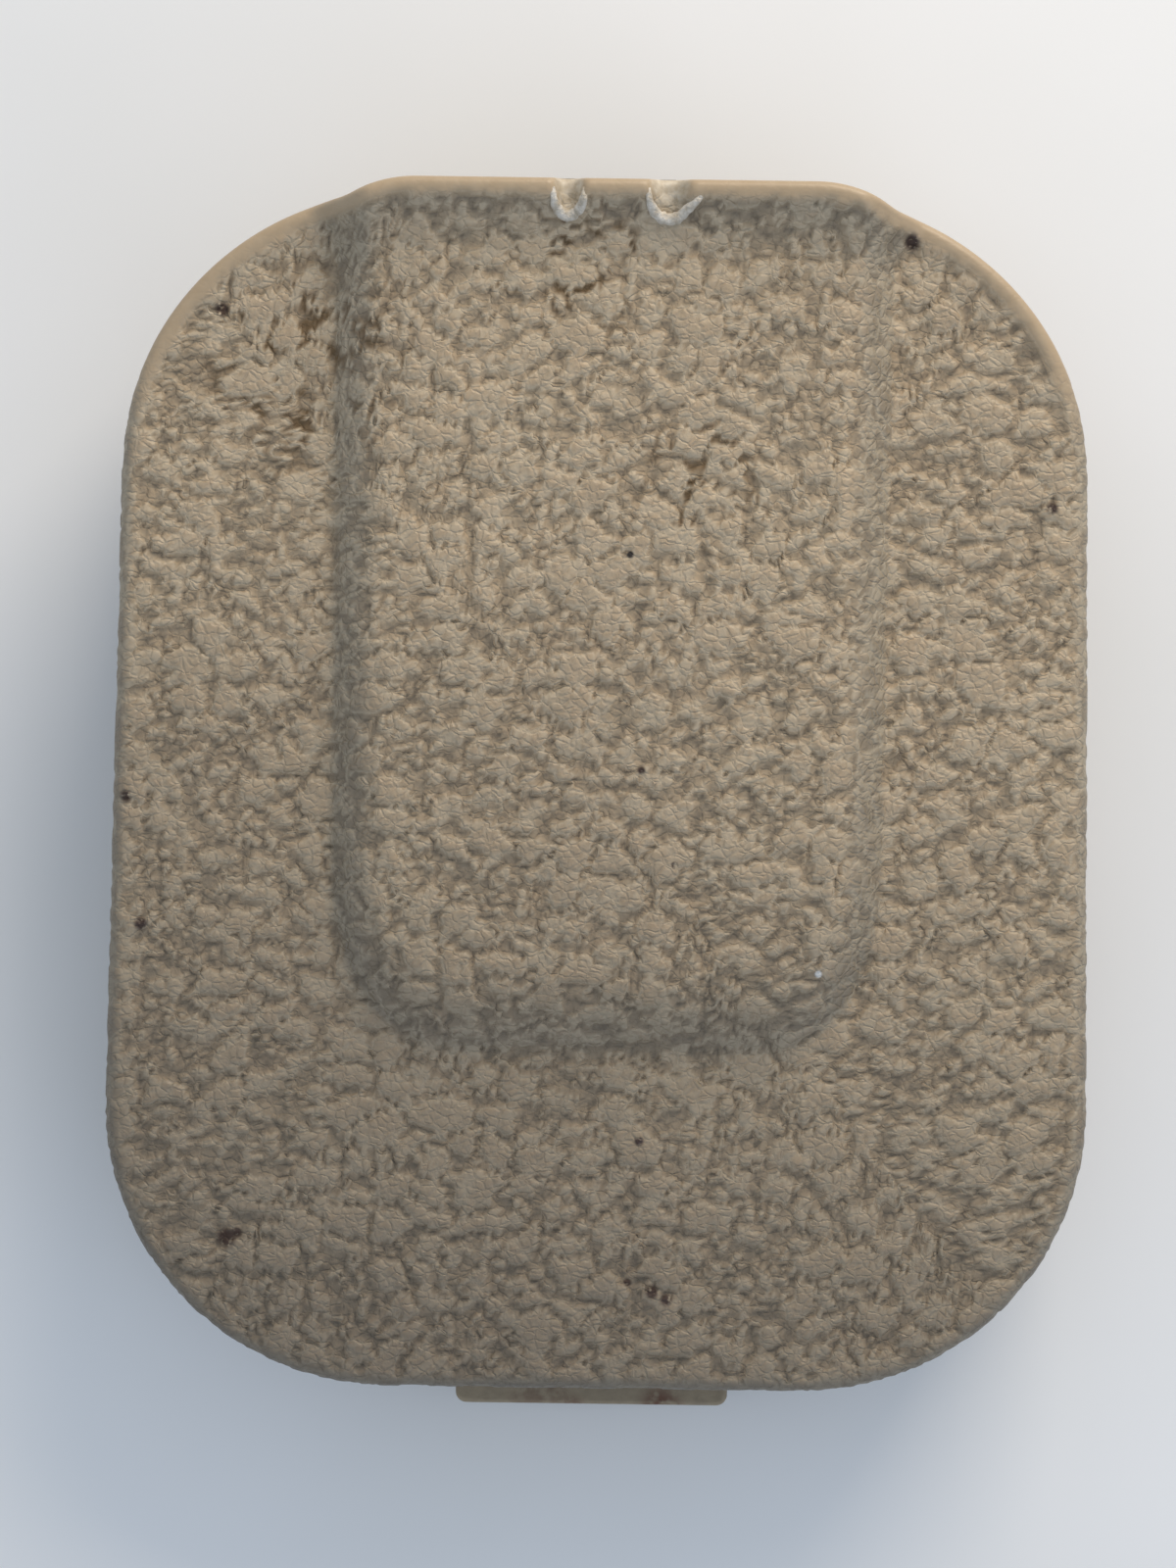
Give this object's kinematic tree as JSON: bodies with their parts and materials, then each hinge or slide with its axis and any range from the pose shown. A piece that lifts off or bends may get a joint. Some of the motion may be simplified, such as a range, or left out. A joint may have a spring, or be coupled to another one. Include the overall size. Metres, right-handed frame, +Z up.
{
  "type": "sewing machine pedal",
  "caption": "Clamshell foot control: a grained tan cover with a raised pad and toe stop, hinged at the heel of a tray base on rubber feet, over a sprung carbon-pile rheostat.",
  "frame": {"origin": "on the floor, under the middle of the whole part's box", "axes": "+X to the user's right, +Y from the heel towards the toe end, +Z up"},
  "size_m": [0.104, 0.1321, 0.043],
  "materials": {
    "cover_plastic": "moulded, leather grain",
    "base_plastic": "moulded, smooth",
    "zinc_plated_steel": "zinc plated sheet",
    "screw_steel": "plated",
    "bright_steel": "ground",
    "spring_steel": "drawn wire and strip",
    "ceramic": "glazed",
    "fibre_sheet": "vulcanised fibre",
    "brass": "stamped and turned",
    "phenolic": "moulded",
    "carbon": "pressed carbon",
    "rubber": "moulded",
    "wire_insulation": "extruded"
  },
  "bodies": {
    "base": {"base_shell": "base_plastic", "block_screws": "screw_steel", "bracket_screws": "screw_steel", "bypass_contact": "brass", "bypass_lead": "wire_insulation", "carbon_pile_left": "carbon", "carbon_pile_right": "carbon", "clamp_screws": "screw_steel", "cord_clamp": "phenolic", "cord_gland": "rubber", "crank_pin": "bright_steel", "end_contact_left": "brass", "end_contact_right": "brass", "foot_left_heel": "rubber", "foot_left_toe": "rubber", "foot_right_heel": "rubber", "foot_right_toe": "rubber", "hinge_pin": "bright_steel", "insulating_sheet": "fibre_sheet", "lever_bracket": "zinc_plated_steel", "pile_lead_left": "wire_insulation", "pile_lead_right": "wire_insulation", "pin_clip_left": "spring_steel", "pin_clip_right": "spring_steel", "return_spring_left": "spring_steel", "return_spring_right": "spring_steel", "rheostat_block": "ceramic", "stop_bumper_left": "rubber", "stop_bumper_right": "rubber", "terminal_screws": "brass", "terminal_strip": "phenolic"},
    "cover": {"top_cover": "cover_plastic", "stiffener_plate": "zinc_plated_steel", "stiffener_screws": "screw_steel", "actuator_screw": "screw_steel", "lock_nut": "screw_steel"},
    "lever": {"bell_crank": "phenolic"},
    "bridge": {"contact_bridge": "brass", "plunger_left": "carbon", "plunger_right": "carbon"}
  },
  "joints": [
    {"name": "treadle_hinge", "type": "hinge", "parent": "base", "child": "cover", "pos_m": [0, -0.05033, 0.013], "axis": [-1, 0, 0], "range_deg": [0, 5.6], "stiffness_Nm_per_rad": 16.7, "springref_deg": -2.29, "deforming": ["return_spring_left", "return_spring_right"]},
    {"name": "lever_pivot", "type": "hinge", "parent": "base", "child": "lever", "pos_m": [0, 0.01897, 0.0185], "axis": [-1, 0, 0], "range_deg": [0, 20.61]},
    {"name": "bridge_slide", "type": "slide", "parent": "base", "child": "bridge", "axis": [0, -1, 0], "range_m": [0, 0.00206]}
  ],
  "couplings": [
    {"joint": "lever_pivot", "follows": "treadle_hinge", "ratio": 3.677},
    {"joint": "bridge_slide", "follows": "treadle_hinge", "m_per_rad": 0.020938}
  ]
}
